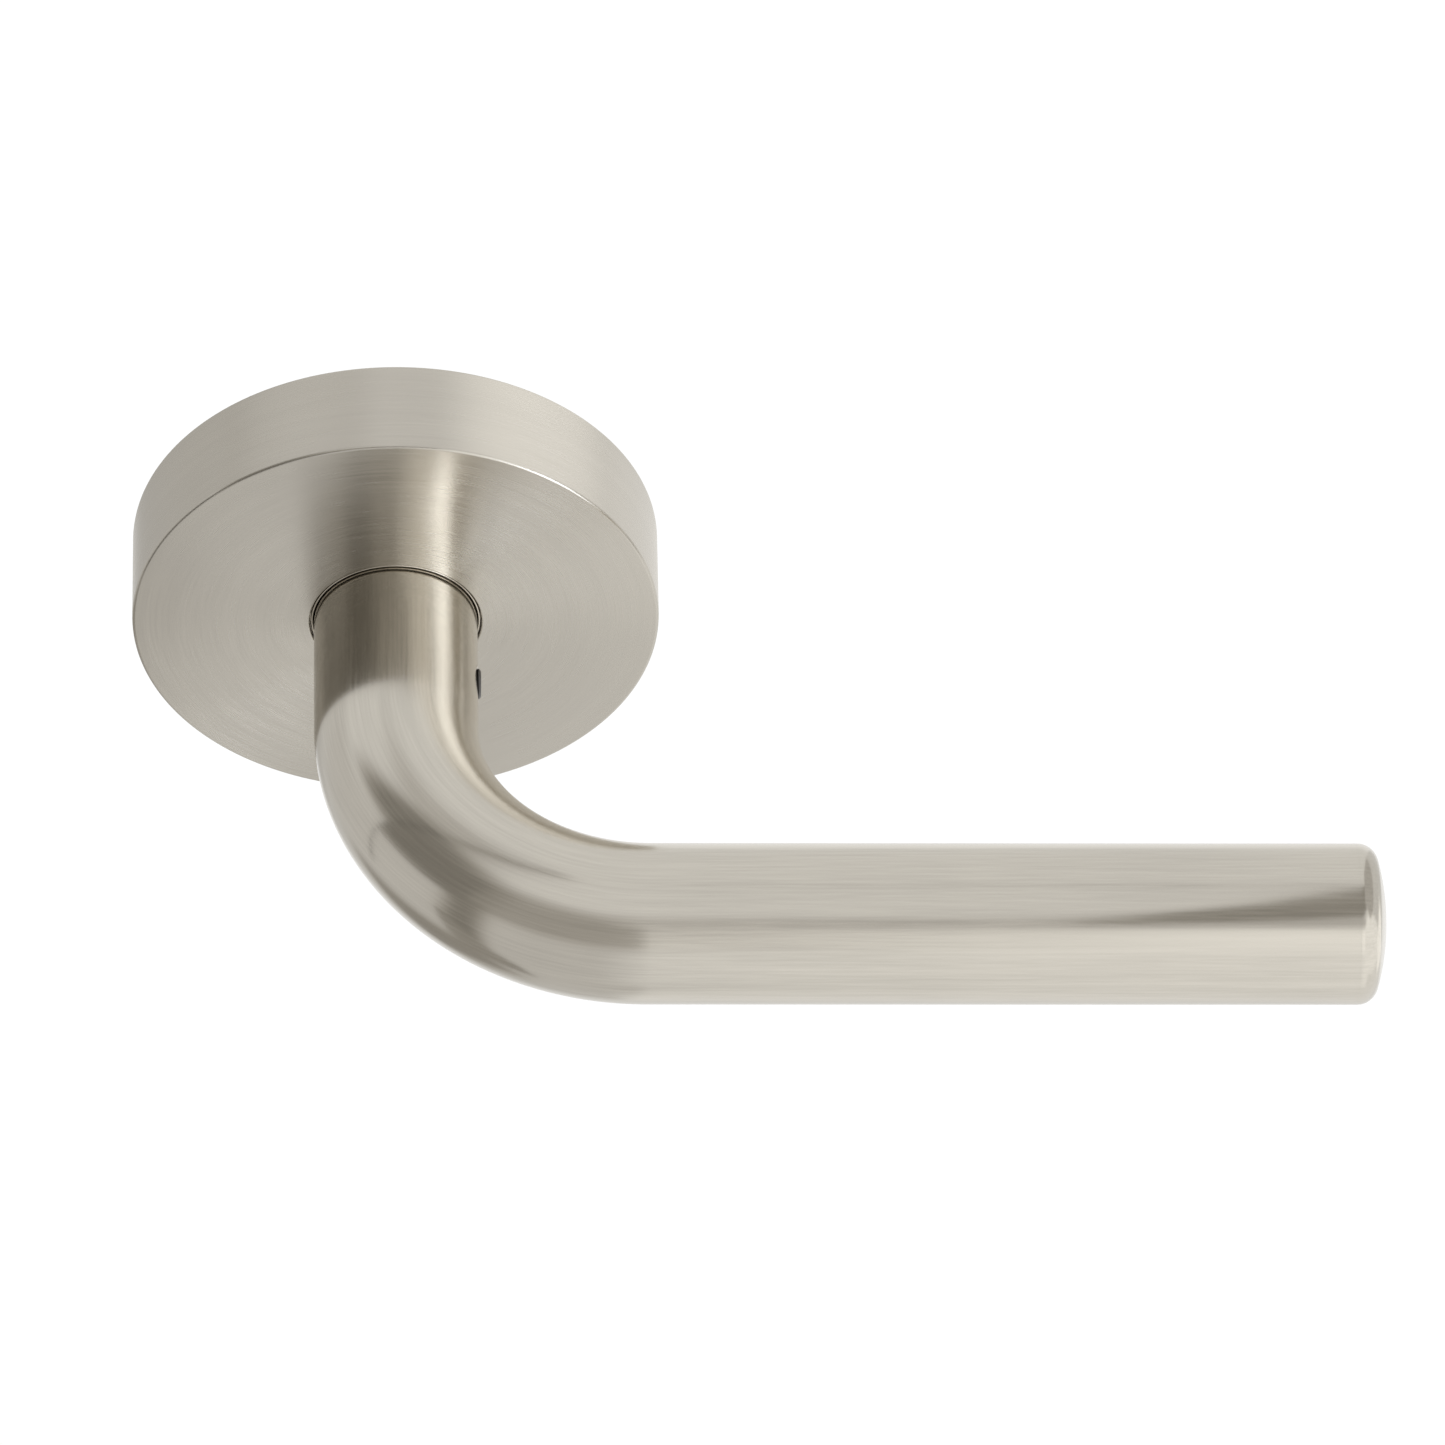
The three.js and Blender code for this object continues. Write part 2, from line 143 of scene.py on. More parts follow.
def rounded(corners, closed=True, steps=4, guard=0.08):
    """A profile with its corners rounded. A corner is (across, along, radius). Points just
    beside each arc keep the flats flat under smooth shading."""
    result = []
    count = len(corners)
    for i, (x, y, radius) in enumerate(corners):
        at_end = not closed and i in (0, count - 1)
        if radius <= 0 or at_end:
            result.append(Vector((x, y)))
            continue
        before = Vector(corners[i - 1][:2])
        after = Vector(corners[(i + 1) % count][:2])
        arc = fillet((x, y), before, after, radius, steps)
        lead = arc[0] + (before - arc[0]).normalized() * guard
        trail = arc[-1] + (after - arc[-1]).normalized() * guard
        result += [lead, *arc, trail]
    return result


def circle(radius, divisions=64, centre=(0, 0), start=0.0):
    points = []
    for i in range(divisions):
        angle = start + TAU * i / divisions
        points.append((centre[0] + radius * math.cos(angle), centre[1] + radius * math.sin(angle)))
    return points


def rectangle(width, height):
    x, z = width / 2, height / 2
    return [(-x, -z), (x, -z), (x, z), (-x, z)]


def at_clock(radius, clock):
    """(x, z) of a point at a radius and a clock angle."""
    angle = math.radians(clock)
    return radius * math.sin(angle), radius * math.cos(angle)


# ---- Meshes ----

BRUSH_R = ROSE_R / 2  # the radius at which lengths along turned brush lines are true
OPEN = 1e9  # the period of a direction that doesn't close on itself
SHARP = math.radians(35)  # edges with a larger angle between their faces stay sharp


def spread(values, period):
    """A face's coordinates on a closed direction, moved so that none lies a period away."""
    if max(values) - min(values) > period / 2:
        return [v + period if v < period / 2 else v for v in values]
    return values


def linked(name, data):
    """A new object in the scene."""
    obj = bpy.data.objects.new(name, data)
    bpy.context.scene.collection.objects.link(obj)
    return obj


def face_outwards(mesh, merge=0.0):
    """Joins points that lie within a distance, and turns the faces outwards."""
    bm = bmesh.new()
    bm.from_mesh(mesh)
    if merge > 0:
        bmesh.ops.remove_doubles(bm, verts=bm.verts, dist=merge)
    bmesh.ops.recalc_face_normals(bm, faces=bm.faces)
    bm.to_mesh(mesh)
    bm.free()


def make_mesh(name, verts, faces, brush=None, grain=None, periods=(OPEN, OPEN)):
    """A smooth mesh object from points in millimetres. brush holds, for each point, the
    distance across and along the brush lines, and grain two more noise coordinates. periods
    are the lengths after which the two distances close on themselves."""
    mesh = bpy.data.meshes.new(name)
    mesh.from_pydata([Vector(v) * MM for v in verts], [], faces)
    face_outwards(mesh)
    if brush:
        brush_uv = mesh.uv_layers.new(name="brush").data
        grain_uv = mesh.uv_layers.new(name="grain").data
        for face in mesh.polygons:
            corners = [mesh.loops[i].vertex_index for i in face.loop_indices]
            across = spread([brush[v][0] for v in corners], periods[0])
            along = spread([brush[v][1] for v in corners], periods[1])
            for loop, v, a, b in zip(face.loop_indices, corners, across, along):
                brush_uv[loop].uv = (a, b)
                grain_uv[loop].uv = grain[v]
    mesh.shade_smooth()
    mesh.set_sharp_from_angle(angle=SHARP)
    return linked(name, mesh)


def bands(loops):
    """Faces between each closed loop of point numbers and the next. A loop with one point
    closes the surface there."""
    faces = []
    for a, b in zip(loops, loops[1:]):
        count = max(len(a), len(b))
        for j in range(count):
            k = (j + 1) % count
            if len(a) == 1:
                faces.append((a[0], b[k], b[j]))
            elif len(b) == 1:
                faces.append((a[j], a[k], b[0]))
            else:
                faces.append((a[j], a[k], b[k], b[j]))
    return faces


def lathe(name, profile, divisions=96, closed=True):
    """A solid of revolution about the spindle's axis, from (radius, depth) points."""
    points = [Vector(p) for p in profile]
    lengths = [0.0]
    for a, b in zip(points, points[1:]):
        lengths.append(lengths[-1] + (b - a).length)
    total = lengths[-1] + (points[0] - points[-1]).length
    verts, brush, grain, rows = [], [], [], []
    for p, length in zip(points, lengths):
        if p.x < 1e-6:
            rows.append([len(verts)])
            verts.append((0, -p.y, 0))
            brush.append((length, 0))
            grain.append((0, 0))
            continue
        row = []
        for j in range(divisions):
            angle = TAU * j / divisions
            row.append(len(verts))
            verts.append((p.x * math.sin(angle), -p.y, p.x * math.cos(angle)))
            brush.append((length, angle * BRUSH_R))
            grain.append((math.sin(angle), math.cos(angle)))
        rows.append(row)
    faces = bands([*rows, rows[0]] if closed else rows)
    return make_mesh(name, verts, faces, brush, grain, (total, TAU * BRUSH_R))


def evaluated_mesh(obj):
    """A new mesh of an object as its modifiers or its curve settings shape it."""
    bpy.context.view_layer.update()
    deps = bpy.context.evaluated_depsgraph_get()
    return bpy.data.meshes.new_from_object(obj.evaluated_get(deps))


def boolean(obj, cutter, operation="DIFFERENCE"):
    """Cuts an object with another one, or joins the two. The other one is used up."""
    modifier = obj.modifiers.new("cut", "BOOLEAN")
    modifier.operation = operation
    modifier.solver = "EXACT"
    modifier.object = cutter
    old, obj.data = obj.data, evaluated_mesh(obj)
    obj.modifiers.clear()
    bpy.data.meshes.remove(old)
    bpy.data.objects.remove(cutter)
    obj.data.set_sharp_from_angle(angle=SHARP)
    return obj


def prism(name, outline, start, end, bevel=0.0, holes=(), sharp=SHARP):
    """A flat piece between two depths, with an outline and holes of (x, z) points. Its bevel
    is cut from the edges."""
    curve = bpy.data.curves.new(name, "CURVE")
    curve.dimensions = "2D"
    curve.fill_mode = "BOTH"
    for loop in (outline, *holes):
        spline = curve.splines.new("POLY")
        spline.points.add(len(loop) - 1)
        for point, (x, z) in zip(spline.points, loop):
            point.co = (x * MM, z * MM, 0, 1)
        spline.use_cyclic_u = True
    curve.offset = -bevel * MM
    curve.bevel_depth = bevel * MM
    curve.bevel_resolution = 2
    curve.extrude = ((end - start) / 2 - bevel) * MM
    source = linked(name, curve)
    mesh = evaluated_mesh(source)
    bpy.data.objects.remove(source)
    middle = -(start + end) / 2 * MM
    mesh.transform(Matrix.Translation((0, middle, 0)) @ Matrix.Rotation(math.pi / 2, 4, "X"))
    mesh.name = name
    face_outwards(mesh, merge=1e-7)
    mesh.shade_smooth()
    mesh.set_sharp_from_angle(angle=sharp)
    return linked(name, mesh)


# ---- Materials ----


class Nodes:
    """A short way to write a node tree. A value is a number, a tuple or another socket."""

    def __init__(self, tree):
        self.tree = tree
        tree.nodes.clear()

    def add(self, kind, inputs=None, **settings):
        """A new node. inputs holds values for its sockets, by their names or numbers."""
        node = self.tree.nodes.new(kind)
        for key, setting in settings.items():
            setattr(node, key, setting)
        for key, value in (inputs or {}).items():
            if isinstance(value, bpy.types.NodeSocket):
                self.tree.links.new(value, node.inputs[key])
            else:
                node.inputs[key].default_value = value
        return node

    def maths(self, operation, a, b=0.0):
        return self.add("ShaderNodeMath", {0: a, 1: b}, operation=operation).outputs[0]

    def scaled(self, value, low_out, high_out, low_in=0.3, high_in=0.7):
        """A value moved to another range. The range that comes in is that of most noise."""
        inputs = {"Value": value, "From Min": low_in, "From Max": high_in}
        inputs |= {"To Min": low_out, "To Max": high_out}
        return self.add("ShaderNodeMapRange", inputs, clamp=True).outputs["Result"]

    def between(self, share, at_zero, at_one):
        """A value that goes from one to another while share goes from 0 to 1."""
        return self.scaled(share, at_zero, at_one, 0.0, 1.0)

    def mixed(self, value, other, share):
        """value where share is 0, and other where it is 1."""
        change = self.maths("SUBTRACT", other, value)
        return self.maths("ADD", value, self.maths("MULTIPLY", change, share))

    def smooth(self, value, start, end):
        """0 at start, 1 at end, and smooth between."""
        inputs = {"Value": value, "From Min": start, "From Max": end}
        node = self.add("ShaderNodeMapRange", inputs, interpolation_type="SMOOTHSTEP", clamp=True)
        return node.outputs["Result"]

    def noise(self, vector, scale, detail, roughness):
        inputs = {"Vector": vector, "Scale": scale, "Detail": detail, "Roughness": roughness}
        return self.add("ShaderNodeTexNoise", inputs).outputs["Fac"]

    def position(self):
        """A point of the object itself, in metres."""
        return self.add("ShaderNodeTexCoord").outputs["Object"]

    def xyz(self, x, y, z):
        return self.add("ShaderNodeCombineXYZ", {0: x, 1: y, 2: z}).outputs[0]

    def parts(self, vector):
        return self.add("ShaderNodeSeparateXYZ", {0: vector}).outputs

    def tint(self, color, factor):
        """color times a grey factor."""
        inputs = {0: color, "Scale": factor}
        return self.add("ShaderNodeVectorMath", inputs, operation="SCALE").outputs[0]

    def bump(self, height, distance, strength):
        inputs = {"Distance": distance, "Strength": strength, "Height": height}
        return self.add("ShaderNodeBump", inputs).outputs[0]


def new_material(name):
    material = bpy.data.materials.new(name)
    material.use_nodes = True
    return material, Nodes(material.node_tree)


def surface(n, color, metallic, roughness, normal, **others):
    """Gives a material its surface. others are more of the shader's inputs."""
    inputs = {"Base Color": color, "Metallic": metallic, "Roughness": roughness}
    inputs |= {"Normal": normal, **others}
    shader = n.add("ShaderNodeBsdfPrincipled", inputs)
    n.add("ShaderNodeOutputMaterial", {"Surface": shader.outputs[0]})


def hole_shade(n, position):
    """A factor that darkens the inside of the grub screw's drilled hole."""
    side, depth, height = n.parts(position)
    spot = n.xyz(n.maths("MINIMUM", side, 0.0), n.maths("ADD", depth, SET_SCREW_DEPTH * MM), height)
    reach = n.add("ShaderNodeVectorMath", {0: spot}, operation="LENGTH").outputs["Value"]
    rim = SET_SCREW_HOLE_R * MM
    outside = n.smooth(reach, rim + 0.02 * MM, rim + 0.05 * MM)
    return n.between(outside, 0.4, 1.0)


def brushed_nickel(name, color, lathe_marks, fine, coarse, rough, stretch, contrast):
    """Nickel with brush lines. lathe_marks is true where the lines run round the spindle's
    axis, and false where they run along the tube. fine and coarse are lines per mm."""
    material, n = new_material(name)
    across, along, _ = n.parts(n.add("ShaderNodeUVMap", uv_map="brush").outputs[0])
    first, second, _ = n.parts(n.add("ShaderNodeUVMap", uv_map="grain").outputs[0])
    # The less the noise drifts along a line, the longer the lines are.
    fine_drift, coarse_drift = (2.2, 1.3) if lathe_marks else (0.09, 0.03)

    def lines(per_mm, drift):
        """Noise coordinates that change fast across the brush lines and slowly along them."""
        if lathe_marks:
            flat, rising = drift, n.maths("MULTIPLY", across, per_mm)
        else:
            flat, rising = per_mm, n.maths("MULTIPLY", along, drift)
        return n.xyz(n.maths("MULTIPLY", first, flat), n.maths("MULTIPLY", second, flat), rising)

    fine_lines = n.noise(lines(fine, fine_drift), 1.0, 3.0, 0.65)
    coarse_lines = n.noise(lines(coarse, coarse_drift), 1.0, 2.0, 0.5)
    position = n.position()
    cloud = n.noise(position, 45.0, 2.0, 0.5)
    fine_tone = n.scaled(fine_lines, 1 - contrast, 1 + contrast)
    coarse_tone = n.scaled(coarse_lines, 1 - contrast / 2, 1 + contrast / 2)
    tone = n.maths("MULTIPLY", fine_tone, coarse_tone)
    tone = n.maths("MULTIPLY", tone, n.scaled(cloud, 0.975, 1.025))
    if not lathe_marks:
        tone = n.maths("MULTIPLY", tone, hole_shade(n, position))
    fine_rough = n.scaled(fine_lines, rough - 0.03, rough + 0.03)
    roughness = n.maths("ADD", fine_rough, n.scaled(cloud, -0.02, 0.02))
    normal = n.bump(fine_lines, 0.004 * MM, 0.35)
    tangent = n.add("ShaderNodeTangent", direction_type="UV_MAP", uv_map="brush").outputs[0]
    glint = {"Anisotropic": stretch, "Tangent": tangent}
    surface(n, n.tint(color, tone), 1.0, roughness, normal, **glint)
    return material


def plain_metal(name, color, rough, mottle, grain_scale, bump_mm):
    """Plated or cast metal with a soft mottle and a fine grain."""
    material, n = new_material(name)
    position = n.position()
    cloud = n.noise(position, 160.0, 3.0, 0.55)
    speck = n.noise(position, grain_scale, 2.0, 0.6)
    cloud_tone = n.scaled(cloud, 1 - mottle, 1 + mottle)
    tone = n.maths("MULTIPLY", cloud_tone, n.scaled(speck, 0.96, 1.04))
    cloud_rough = n.scaled(cloud, rough - 0.06, rough + 0.06)
    roughness = n.maths("ADD", cloud_rough, n.scaled(speck, -0.03, 0.03))
    surface(n, n.tint(color, tone), 1.0, roughness, n.bump(speck, bump_mm * MM, 0.6))
    return material


def moulded_nylon(name, color):
    """Matt plastic with a fine moulded grain."""
    material, n = new_material(name)
    position = n.position()
    cloud = n.noise(position, 300.0, 3.0, 0.6)
    speck = n.noise(position, 4000.0, 2.0, 0.5)
    tone, roughness = n.scaled(cloud, 0.85, 1.15), n.scaled(cloud, 0.45, 0.6)
    surface(n, n.tint(color, tone), 0.0, roughness, n.bump(speck, 0.01 * MM, 0.5))
    return material


rose_nickel = brushed_nickel(
    "satin_nickel_turned",
    color=(0.58, 0.547, 0.484),
    lathe_marks=True,
    fine=3.2,
    coarse=0.45,
    rough=0.26,
    stretch=0.95,
    contrast=0.035,
)
lever_nickel = brushed_nickel(
    "satin_nickel_drawn",
    color=(0.62, 0.585, 0.517),
    lathe_marks=False,
    fine=3.0,
    coarse=0.6,
    rough=0.18,
    stretch=0.5,
    contrast=0.05,
)
# Name, colour, roughness, mottle, grain scale and bump in mm.
zinc_plate = plain_metal("zinc_plated_steel", (0.47, 0.49, 0.51), 0.34, 0.10, 2500.0, 0.004)
cast_zinc = plain_metal("die_cast_zinc", (0.42, 0.43, 0.44), 0.52, 0.12, 1500.0, 0.012)
spring_steel = plain_metal("spring_steel", (0.30, 0.30, 0.31), 0.34, 0.15, 3000.0, 0.003)
black_steel = plain_metal("black_steel", (0.13, 0.126, 0.12), 0.38, 0.15, 3000.0, 0.003)
bright_ring = plain_metal("bright_bush_rim", (0.66, 0.61, 0.53), 0.18, 0.05, 3000.0, 0.002)
nylon = moulded_nylon("black_nylon", (0.022, 0.022, 0.024))


def place(obj, body, slot, material, *nodes):
    """Gives a piece its finish, lets it ride on a body, and lets it stand for CAD nodes."""
    obj.data.materials.clear()
    obj.data.materials.append(material)
    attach(obj, body)
    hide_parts(*nodes)


# ---- The lever ----


def lever_stations():
    """Distances along the centreline, from the neck's base to the tube's end."""
    grip_length = TUBE_END - BEND_R
    neck_step, bend_step, grip_step = 0.64, 0.8, 1.6
    stretches = (
        (0, NECK_LENGTH, neck_step),
        (NECK_LENGTH, BEND_LENGTH, bend_step),
        (NECK_LENGTH + BEND_LENGTH, grip_length, grip_step),
    )
    stations = []
    for start, length, step in stretches:
        count = round(length / step)
        stations += [start + length * i / count for i in range(count)]
    return stations + [NECK_LENGTH + BEND_LENGTH + grip_length]


def lever_frame(s):
    """The centreline's point, the direction towards the bend's centre, and the tube's outer
    radius, at a distance from the neck's base."""
    turn = min(max((s - NECK_LENGTH) / BEND_R, 0), math.pi / 2)
    share = turn / (math.pi / 2)
    radius = NECK_R + (GRIP_R - NECK_R) * share
    inward = Vector((math.cos(turn), math.sin(turn), 0))
    if s <= NECK_LENGTH:
        return Vector((0, -NECK_BASE - s, 0)), inward, radius
    past = max(s - NECK_LENGTH - BEND_LENGTH, 0)
    across = BEND_R * (1 - math.cos(turn)) + past
    return Vector((across, -BEND_START - BEND_R * math.sin(turn), 0)), inward, radius


class TubeSkin:
    """The tube's points, with their places in the brush lines, and its faces. share is a
    point's radius as a share of the tube's outer radius."""

    columns = 96
    gap = 5  # columns and rings on each side of the hole's middle that make way for it

    def __init__(self):
        self.verts, self.brush, self.grain, self.faces = [], [], [], []

    def add(self, s, angle, share, point=None):
        centre, inward, radius = lever_frame(s)
        if point is None:
            r = radius * share
            point = centre + inward * (r * math.cos(angle)) + Vector((0, 0, r * math.sin(angle)))
        self.verts.append(point)
        self.brush.append((angle * NECK_R, s))
        self.grain.append((NECK_R * math.cos(angle), NECK_R * math.sin(angle)))
        return len(self.verts) - 1

    def ring(self, s, share):
        return [self.add(s, TAU * j / self.columns, share) for j in range(self.columns)]

    def grid(self, rings, gaps):
        """Joins the rings, and leaves the gaps in them open beside the hole."""
        for i, a in enumerate(rings):
            b = rings[(i + 1) % len(rings)]
            in_gap = any(middle - self.gap <= i < middle + self.gap for middle in gaps)
            for j in range(self.columns):
                near_hole = j < self.gap or j >= self.columns - self.gap
                if near_hole and in_gap:
                    continue
                k = (j + 1) % self.columns
                self.faces.append((a[j], b[j], b[k], a[k]))

    def patch(self, rings, middle, hole_s, share, rim_r):
        """Fills the gap in the rings down to the hole's rim, and returns the rim."""
        first, last = middle - self.gap, middle + self.gap
        edge = [rings[first][j % self.columns] for j in range(-self.gap, self.gap)]
        edge += [rings[i][self.gap] for i in range(first, last)]
        edge += [rings[last][j % self.columns] for j in range(self.gap, -self.gap, -1)]
        edge += [rings[i][-self.gap % self.columns] for i in range(last, first, -1)]
        radius = NECK_R * share
        steps, crowding = 4, 0.8
        loops = [edge]
        for step in range(1, steps + 1):
            part = (step / steps) ** crowding
            loop = []
            for v in edge:
                depth, z = -self.verts[v].y - NECK_BASE - hole_s, self.verts[v].z
                reach = math.hypot(depth, z)
                r = reach + (rim_r - reach) * part
                s, z = hole_s + depth / reach * r, z / reach * r
                angle = math.asin(z / radius)
                point = Vector((radius * math.cos(angle), -NECK_BASE - s, z))
                loop.append(self.add(s, angle % TAU, share, point))
            loops.append(loop)
        self.faces += bands(loops)
        return loops[-1]

    def hole_wall(self, rim, foot, hole_s):
        """The drilled hole's wall, from the outer rim to the rim inside."""
        hole_y = -NECK_BASE - hole_s
        walls = [rim]
        for depth_in in (HOLE_BREAK, 0.25, TUBE_WALL - 0.2):
            wall = []
            for v in rim:
                offset = Vector((0, self.verts[v].y - hole_y, self.verts[v].z)).normalized()
                offset *= SET_SCREW_HOLE_R
                x = math.sqrt(NECK_R**2 - offset.z**2) - depth_in
                point = Vector((x, hole_y + offset.y, offset.z))
                wall.append(self.add(hole_s, 0, 1.0, point))
            walls.append(wall)
        self.faces += bands([*walls, foot])


def lever_tube():
    """The bent tube as one closed skin, with the grub screw's hole cut into its grid."""
    stations = lever_stations()
    aim = SET_SCREW_DEPTH - NECK_BASE
    middle = min(range(len(stations)), key=lambda i: abs(stations[i] - aim))
    hole_s = stations[middle]
    inner_share = 1 - TUBE_WALL / NECK_R
    skin = TubeSkin()
    outer = [skin.ring(s, 1.0) for s in stations]
    inner = [skin.ring(s, inner_share) for s in stations]
    # The edge at the neck's base is broken: its end face stops short of the outer radius, and
    # the outer skin starts a little past the base.
    break_in, break_along = 0.2, 0.15
    neck_edge = skin.ring(0, 1.0 - break_in / NECK_R)
    for v in outer[0]:
        skin.verts[v] = skin.verts[v] + Vector((0, -break_along, 0))
    rings = [neck_edge, *outer, *reversed(inner)]
    skin.grid(rings, gaps=(1 + middle, 2 * len(stations) - middle))
    rim = skin.patch(outer, middle, hole_s, 1.0, SET_SCREW_HOLE_R + HOLE_BREAK)
    foot = skin.patch(inner, middle, hole_s, inner_share, SET_SCREW_HOLE_R)
    skin.hole_wall(rim, foot, hole_s)
    periods = (TAU * NECK_R, OPEN)
    return make_mesh("lever_tube_skin", skin.verts, skin.faces, skin.brush, skin.grain, periods)


def laid_along_x(obj, depth):
    """Turns a piece made about the depth axis so that its depth runs along +X."""
    turn = Matrix.Translation((0, -depth * MM, 0)) @ Matrix.Rotation(math.pi / 2, 4, "Z")
    obj.data.transform(turn)
    return obj


def tip_cap():
    """The rounded plug: a spigot in the tube, a rounded corner and a domed end."""
    spigot_r = GRIP_R * (1 - TUBE_WALL / NECK_R) - 0.3
    chamfer, joint_gap = 0.6, 0.004
    joint = TUBE_END + joint_gap
    corner_r = GRIP_R - TIP_CORNER_R
    dome_x = TIP_X - TIP_DOME_R
    dome_angle = math.asin(corner_r / (TIP_DOME_R - TIP_CORNER_R))
    shoulder = dome_x + (TIP_DOME_R - TIP_CORNER_R) * math.cos(dome_angle)
    corner_steps, dome_steps = 16, 12
    profile = [
        (0, CAP_START),
        (spigot_r - chamfer, CAP_START),
        (spigot_r, CAP_START + chamfer),
        (spigot_r, joint),
        (GRIP_R, joint),
    ]
    for i in range(corner_steps + 1):
        angle = i / corner_steps * (math.pi / 2 - dome_angle)
        r = corner_r + TIP_CORNER_R * math.cos(angle)
        profile.append((r, shoulder + TIP_CORNER_R * math.sin(angle)))
    for i in range(dome_steps - 1, -1, -1):
        angle = dome_angle * i / dome_steps
        profile.append((TIP_DOME_R * math.sin(angle), dome_x + TIP_DOME_R * math.cos(angle)))
    cap = laid_along_x(lathe("tip_cap_skin", profile, 96, closed=False), PROJECTION)
    carry_brush_on(cap)
    return cap


def carry_brush_on(cap):
    """Lays the tube's brush lines over the cap, so that they run on past the joint."""
    brush_uv, grain_uv = cap.data.uv_layers["brush"].data, cap.data.uv_layers["grain"].data
    s_at_zero = NECK_LENGTH + BEND_LENGTH - BEND_R
    for face in cap.data.polygons:
        corners = [cap.data.loops[i].vertex_index for i in face.loop_indices]
        points = [cap.data.vertices[v].co / MM for v in corners]
        angles = spread([math.atan2(p.z, p.y + PROJECTION) % TAU for p in points], TAU)
        for loop, p, angle in zip(face.loop_indices, points, angles):
            r = math.hypot(p.z, p.y + PROJECTION) / GRIP_R * NECK_R
            brush_uv[loop].uv = (angle * NECK_R, s_at_zero + p.x)
            grain_uv[loop].uv = (r * math.cos(angle), r * math.sin(angle))


def thread(root_r, crest_r, start, pitch, turns):
    """An outside thread as plain rings, in (radius, depth) points."""
    points = []
    for i in range(turns):
        root = start + i * pitch
        points += [(crest_r, root + pitch * 0.45), (crest_r, root + pitch * 0.6)]
        points.append((root_r, root + pitch))
    return points


def set_screw():
    """The grub screw, with a thread outside and a hexagon socket in its end."""
    start, end = low("set_screw").x, high("set_screw").x
    pitch, point, plain = 0.5, 0.5, 0.4
    root_r = SET_SCREW_R - 0.25
    turns = int((end - start - point - plain) / pitch)
    profile = [(0, start), (SET_SCREW_R - 0.7, start), (root_r, start + point)]
    profile += thread(root_r, SET_SCREW_R, start + point, pitch, turns)
    profile += [(SET_SCREW_R - 0.1, end - 0.3), (SET_SCREW_R - 0.22, end - 0.12)]
    profile += [(SET_SCREW_R - 0.4, end), (0, end)]
    screw = laid_along_x(lathe("set_screw_body", profile, 48, closed=False), SET_SCREW_DEPTH)
    across_flats, socket_depth = 2.0, 2.2
    hexagon = circle(across_flats / math.sqrt(3), 6, start=math.pi / 6)
    socket = prism("cutter", hexagon, end - socket_depth, end + 1)
    return boolean(screw, laid_along_x(socket, SET_SCREW_DEPTH))


def square_cutter(half, start, end):
    return prism("cutter", rectangle(2 * half, 2 * half), start, end)


def neck_core():
    """The steel insert, with a blind socket for the spindle and a hole for the grub screw."""
    start, end = depths("neck_core")
    r = high("neck_core").x
    edge, socket_floor = 0.4, 1.5
    corners = [(0, start, 0), (r, start, edge), (r, end, edge), (0, end, 0)]
    core = lathe("neck_core_body", rounded(corners, closed=False), 64, closed=False)
    boolean(core, square_cutter(SOCKET_HALF, start - 1, end - socket_floor))
    hole = laid_along_x(prism("cutter", circle(SET_SCREW_HOLE_R, 40), 0, r + 2), SET_SCREW_DEPTH)
    return boolean(core, hole)


def spindle():
    """The square bar, with its long edges and ends chamfered."""
    half, chamfer, end_chamfer = SPINDLE_HALF, 0.55, 0.35
    corners = []
    for sx, sz in ((1, 1), (-1, 1), (-1, -1), (1, -1)):
        first = (sx * half, sz * (half - chamfer))
        second = (sx * (half - chamfer), sz * half)
        corners += [first, second] if sx == sz else [second, first]
    start, end = depths("spindle")
    return prism("spindle_bar", corners, start, end, end_chamfer, sharp=math.radians(25))


def drive_hub():
    """The cast follower: journal with its circlip groove, flange, prongs, ear and barrel."""
    journal_end, barrel_top = depths("drive_hub")
    barrel_r = 10.4
    flange_r, flange_back, flange_front = 17.5, 3.7, 5.0
    groove_r, groove_back, groove_front = 6.3, -1.95, -0.95
    corners = [
        (0, journal_end, 0),
        (JOURNAL_R, journal_end, 0.35),
        (JOURNAL_R, groove_back, 0.05),
        (groove_r, groove_back, 0.1),
        (groove_r, groove_front, 0.1),
        (JOURNAL_R, groove_front, 0.05),
        (JOURNAL_R, flange_back, 0.15),
        (flange_r, flange_back, 0.25),
        (flange_r, flange_front, 0.25),
        (barrel_r, flange_front, 0.2),
        (barrel_r, barrel_top, 0.3),
        (0, barrel_top, 0),
    ]
    profile = rounded(corners, closed=False, steps=3, guard=0.03)
    hub = lathe("drive_hub_body", profile, 96, closed=False)
    # The ear that meets the stops is a hair thinner than the flange that it grows from.
    ear_foot_r, ear_r, ear_spread, thinner = 16.5, 21.9, 9, 0.02
    ear = [at_clock(ear_foot_r, 180 + a) for a in (ear_spread, -ear_spread)]
    ear += [at_clock(ear_r, 180 + a) for a in range(-ear_spread, ear_spread + 1, 3)]
    ear_back, ear_front = flange_back + thinner, flange_front - thinner
    boolean(hub, prism("ear", ear, ear_back, ear_front, 0.15), "UNION")
    prong_near, prong_far, prong_foot_r, prong_end_r, prong_top = 1.05, 2.95, 15.1, 17.25, 7.05
    for side in (-1, 1):
        x0, x1 = side * prong_near, side * prong_far
        prong = [(x0, prong_foot_r), (x1, prong_foot_r), (x1, prong_end_r), (x0, prong_end_r)]
        boolean(hub, prism("prong", prong, flange_front - 0.4, prong_top, 0.12), "UNION")
    return boolean(hub, square_cutter(SOCKET_HALF, journal_end - 1, barrel_top + 1))


def washer(node, bore_r):
    """A flat ring with broken edges."""
    start, end = depths(node)
    outer_r, edge = high(node).x, 0.08
    corners = [(bore_r, start, edge), (outer_r, start, edge)]
    corners += [(outer_r, end, edge), (bore_r, end, edge)]
    return lathe(node + "_ring", rounded(corners, steps=3, guard=0.03), 96)


